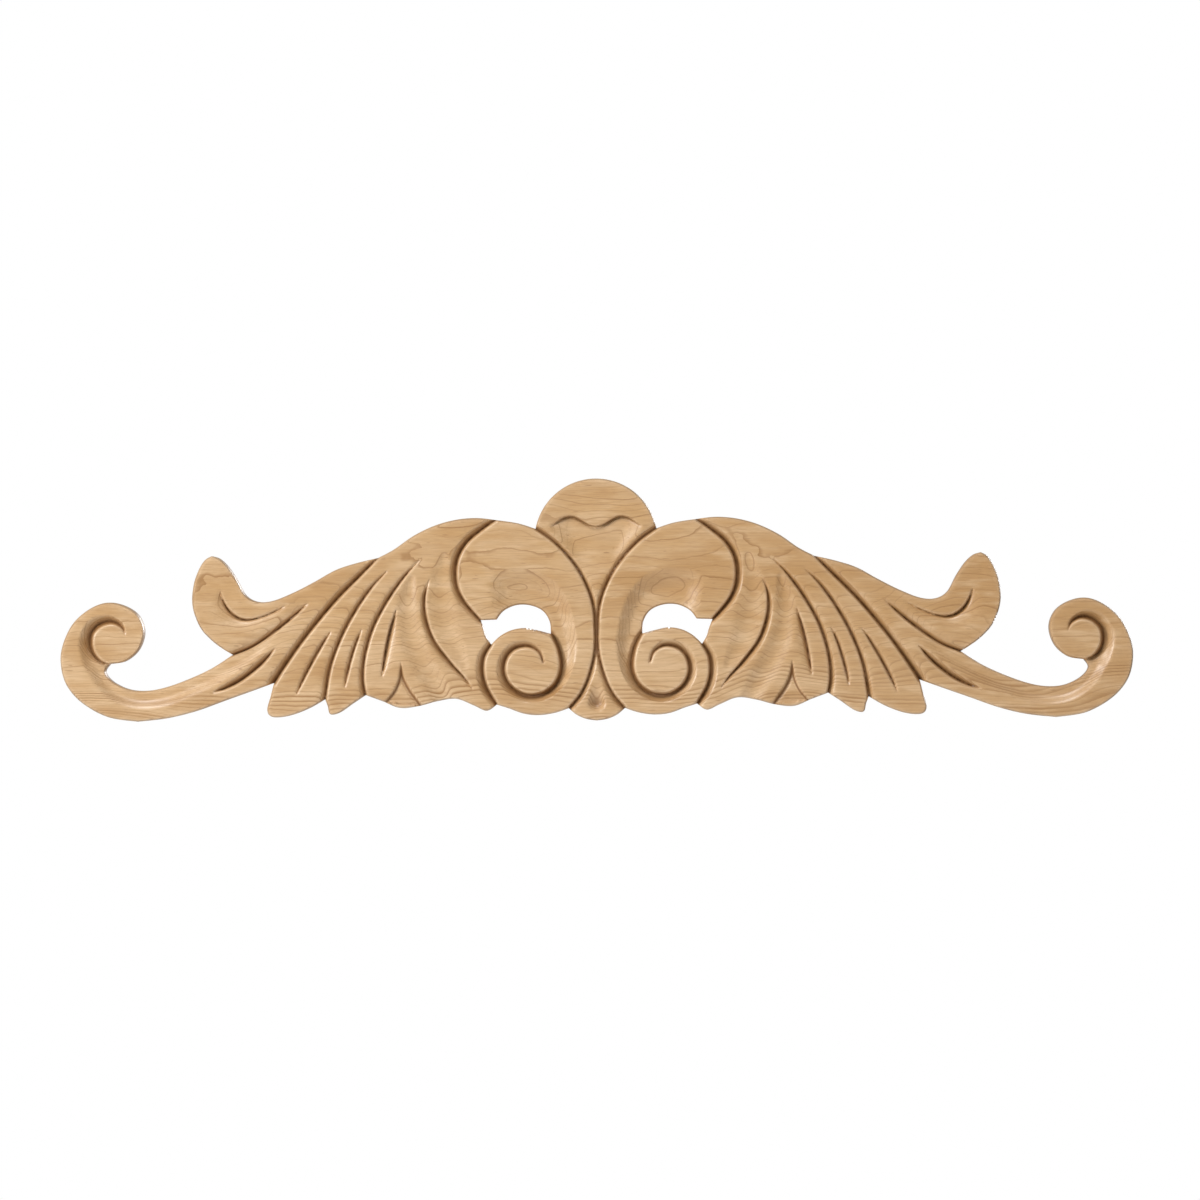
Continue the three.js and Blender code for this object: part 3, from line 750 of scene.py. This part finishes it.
ring_strength = wood.ramp(ring_tone, 0.0, 1.0, FAINTEST_LINE, 1.0)
patch_strength = wood.ramp(grain(50, 16, 2.0), 0.30, 0.68, FAINTEST_PATCH, 1.0)
late = wood.math("MULTIPLY", wood.math("MULTIPLY", on_line, ring_strength), patch_strength)

# Colour, from the widest changes to the finest marks: the lower edge is paler and the right end
# is richer, and each share is how much of the second colour there is at the most
SAPWOOD_FROM, SAPWOOD_TO = 5.0, -35.0
SAPWOOD_SHARE = 0.32
STREAK_SHARE = 0.8
RIGHT_END_FROM, RIGHT_END_TO = 60.0, 125.0
RIGHT_END_LEAN = 0.6
RIGHT_END_SHARE = 0.52
FIGURE_AND_SHEEN_SHARE = 0.45
FIBRE_SHARE = 0.3
PORE_SHARE = 0.45
FLECK_SHARE = 0.7
WEAR_AND_HIGHLIGHT_SHARE = 0.2
STAIN_AND_SHADE_SHARE = 0.95
colour = wood.mix(wood.ramp(grain(42, 15, 3.0, 0.55), 0.3, 0.7), PALE, WARM)
sapwood = wood.ramp(z_mm, SAPWOOD_FROM, SAPWOOD_TO, 0.0, SAPWOOD_SHARE)
colour = wood.mix(sapwood, colour, SAPWOOD)
streaks = wood.ramp(grain(75, 34, 2.0, 0.6), 0.45, 0.70, 0.0, STREAK_SHARE)
colour = wood.mix(streaks, colour, RICH)
rightward = wood.math("MULTIPLY_ADD", z_mm, RIGHT_END_LEAN, x_mm)
right_end = wood.ramp(rightward, RIGHT_END_FROM, RIGHT_END_TO, 0.0, RIGHT_END_SHARE)
right_end = wood.math("MULTIPLY", right_end, wood.ramp(drift, 0.2, 0.6, 0.75, 1.0))
colour = wood.mix(right_end, colour, RICH)
# Figure: lighter and darker bands, partly the wood's own figure and partly painted sheen
figure_and_sheen = grain(26, 5.5, 2.0, 0.55)
colour = wood.mix(wood.ramp(figure_and_sheen, 0.50, 0.70, 0.0, FIGURE_AND_SHEEN_SHARE), colour, SAPWOOD)
colour = wood.mix(wood.ramp(figure_and_sheen, 0.50, 0.30, 0.0, FIGURE_AND_SHEEN_SHARE), colour, RICH)
colour = wood.mix(late, colour, LATE_WOOD)
fibre = grain(16, 0.55, 3.0, 0.6)
colour = wood.mix(wood.ramp(fibre, 0.35, 0.75, 0.0, FIBRE_SHARE), colour, LATE_WOOD)
pores = grain(6, 0.3, 2.0, 0.6)
colour = wood.mix(wood.ramp(pores, 0.5, 0.8, 0.0, PORE_SHARE), colour, LATE_WOOD)
flecks = wood.ramp(grain(9, 1.0, 1.0), 0.69, 0.77, 0.0, FLECK_SHARE)
colour = wood.mix(flecks, colour, FLECK)
seam_shade_and_stain = wood.add("ShaderNodeAttribute", attribute_name="seam_stain_and_shade").outputs["Fac"]
edge_wear_and_highlight = wood.add("ShaderNodeAttribute", attribute_name="arris_wear_and_highlight").outputs["Fac"]
# Wear and painted highlight on the arrises and rim
colour = wood.mix(wood.math("MULTIPLY", edge_wear_and_highlight, WEAR_AND_HIGHLIGHT_SHARE), colour, WORN_AND_HIGHLIGHT_PALE)
# Stain and painted shade in the cuts
colour = wood.mix(wood.ramp(seam_shade_and_stain, 0.22, 0.85, 0.0, STAIN_AND_SHADE_SHARE), colour, STAIN_AND_SHADE_BROWN)
wood.feed(wood.shader.inputs["Base Color"], colour)

# Satin finish, duller along the fibre's ridges and in the cuts, with the fibre and pores in relief
SMOOTHEST, ROUGHEST = 0.32, 0.46
SEAM_DULLNESS = 0.35
BUMP_STRENGTH = 0.4
BUMP_HEIGHT = 0.2 * MM
PORE_RELIEF = -0.5
surface_dullness = wood.ramp(fibre, 0.2, 0.8, SMOOTHEST, ROUGHEST, "LINEAR")
seam_dullness = wood.ramp(seam_shade_and_stain, 0.2, 0.7, 0.0, SEAM_DULLNESS)
dullness = wood.math("ADD", surface_dullness, seam_dullness)
wood.feed(wood.shader.inputs["Roughness"], dullness)
wood.shader.inputs["Specular IOR Level"].default_value = 0.5
wood.shader.inputs["Coat Weight"].default_value = 0.6
wood.shader.inputs["Coat Roughness"].default_value = 0.3
relief = wood.math("MULTIPLY_ADD", pores, PORE_RELIEF, fibre)
bump_inputs = {"Strength": BUMP_STRENGTH, "Distance": BUMP_HEIGHT, "Height": relief}
bump = wood.add("ShaderNodeBump", bump_inputs)
wood.feed(wood.shader.inputs["Normal"], bump.outputs["Normal"])
applique.data.materials.append(wood.material)

# Floor: pale, with a faint mottle
FLOOR_DARKER = (0.82, 0.82, 0.81, 1)
FLOOR_LIGHTER = (0.86, 0.86, 0.85, 1)
FLOOR_MOTTLE = 3
floor_paint = Nodes("floor_paint")
floor_place = floor_paint.add("ShaderNodeTexCoord").outputs["Object"]
tone = floor_paint.noise(floor_paint.scaled(floor_place, *[FLOOR_MOTTLE] * 3), 3.0)
floor_colour = floor_paint.mix(tone, FLOOR_DARKER, FLOOR_LIGHTER)
floor_paint.feed(floor_paint.shader.inputs["Base Color"], floor_colour)
floor_paint.shader.inputs["Roughness"].default_value = 0.8


# ---- floor, light and camera, in metres ----
FLOOR_Z = -0.45
FLOOR_FRONT = -1.4
FLOOR_BACK = 0.45
FLOOR_SIDE = 1.3
floor_mesh = bpy.data.meshes.new("studio_floor")
floor_mesh.from_pydata(
    [(-FLOOR_SIDE, FLOOR_FRONT, FLOOR_Z), (FLOOR_SIDE, FLOOR_FRONT, FLOOR_Z),
     (FLOOR_SIDE, FLOOR_BACK, FLOOR_Z), (-FLOOR_SIDE, FLOOR_BACK, FLOOR_Z)], [], [(0, 1, 2, 3)])
floor_mesh.materials.append(floor_paint.material)
floor = bpy.data.objects.new("studio_floor", floor_mesh)
bpy.context.collection.objects.link(floor)

# White surroundings, which light the applique less than they show
AMBIENT = 0.33
world = bpy.data.worlds.new("studio_white")
world.use_nodes = True
bpy.context.scene.world = world
sky = world.node_tree
background = sky.nodes["Background"]
seen = sky.nodes.new("ShaderNodeLightPath")
level = sky.nodes.new("ShaderNodeMapRange")
level.inputs["To Min"].default_value = AMBIENT
level.inputs["To Max"].default_value = 1.0
sky.links.new(seen.outputs["Is Camera Ray"], level.inputs["Value"])
sky.links.new(level.outputs[0], background.inputs["Strength"])
background.inputs["Color"].default_value = (1, 1, 1, 1)


def area_light(name, at, size, power):
    """A round soft light that faces the applique"""
    lamp = bpy.data.lights.new(name, "AREA")
    lamp.shape = "DISK"
    lamp.size = size
    lamp.energy = power
    holder = bpy.data.objects.new(name, lamp)
    holder.location = at
    holder.rotation_euler = (-Vector(at)).to_track_quat("-Z", "Y").to_euler()
    bpy.context.collection.objects.link(holder)


area_light("key_light", (-2.3, -1.8, 0.75), 1.1, 53)
area_light("top_light", (-0.5, -1.9, 2.2), 1.1, 41)
area_light("back_light", (1.0, 1.8, 0.4), 1.0, 22)

# Camera: nearly square on, far away, turned a little so that the right end is the nearer one
CAMERA_DISTANCE = 6.0
CAMERA_YAW = math.radians(0.5)
CAMERA_ROLL = math.radians(-0.3)
FRAME_WIDTH = 0.6819
SENSOR = 36.0
AIM = Vector((0.0021, -THICKNESS * MM, -0.00085))
camera_data = bpy.data.cameras.new("camera")
camera_data.sensor_width = SENSOR
camera_data.lens = SENSOR * CAMERA_DISTANCE / FRAME_WIDTH
camera_data.clip_start = 0.05
camera_data.clip_end = 50
camera = bpy.data.objects.new("camera", camera_data)
away = Vector((math.sin(CAMERA_YAW), -math.cos(CAMERA_YAW), 0))
camera.location = AIM + away * CAMERA_DISTANCE
bpy.context.collection.objects.link(camera)
camera.rotation_euler = (-away).to_track_quat("-Z", "Y").to_euler()
camera.rotation_euler.rotate_axis("Z", CAMERA_ROLL)
bpy.context.scene.camera = camera
bpy.context.scene.view_settings.view_transform = "Standard"
